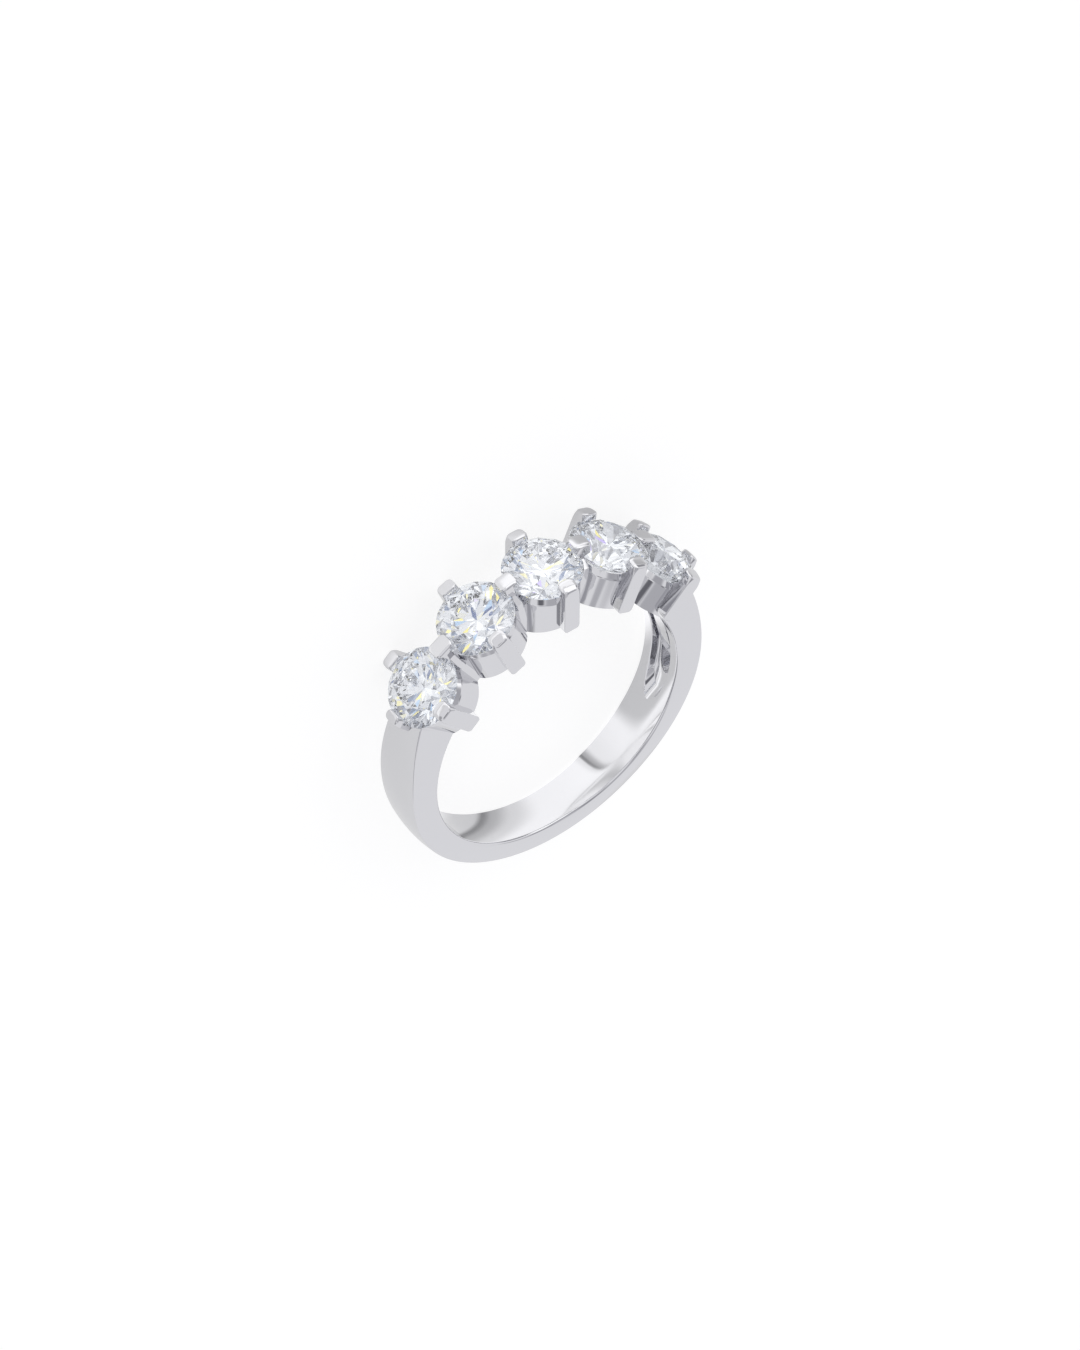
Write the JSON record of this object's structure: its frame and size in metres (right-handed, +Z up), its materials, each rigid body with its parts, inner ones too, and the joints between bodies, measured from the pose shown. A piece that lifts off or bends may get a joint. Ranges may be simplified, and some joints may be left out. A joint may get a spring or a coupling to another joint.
{
  "type": "half eternity ring",
  "caption": "White metal finger ring with a row of round claw-set stones over the top and a plain tapered band.",
  "frame": {"origin": "the middle of the box that the ring fills, on the table that it lies on", "axes": "+Z is up from the table, close to the finger's axis; +X runs along the row of stones; +Y points from the back of the band to the middle stone"},
  "size_m": [0.0214, 0.023, 0.0065],
  "materials": {
    "white_gold": "bright polished, rhodium plated white gold",
    "diamond": "colourless, polished facets"
  },
  "bodies": {
    "root": {"ring_mount": "white_gold", "diamond_1": "diamond", "diamond_2": "diamond", "diamond_3": "diamond", "diamond_4": "diamond", "diamond_5": "diamond"}
  },
  "joints": []
}
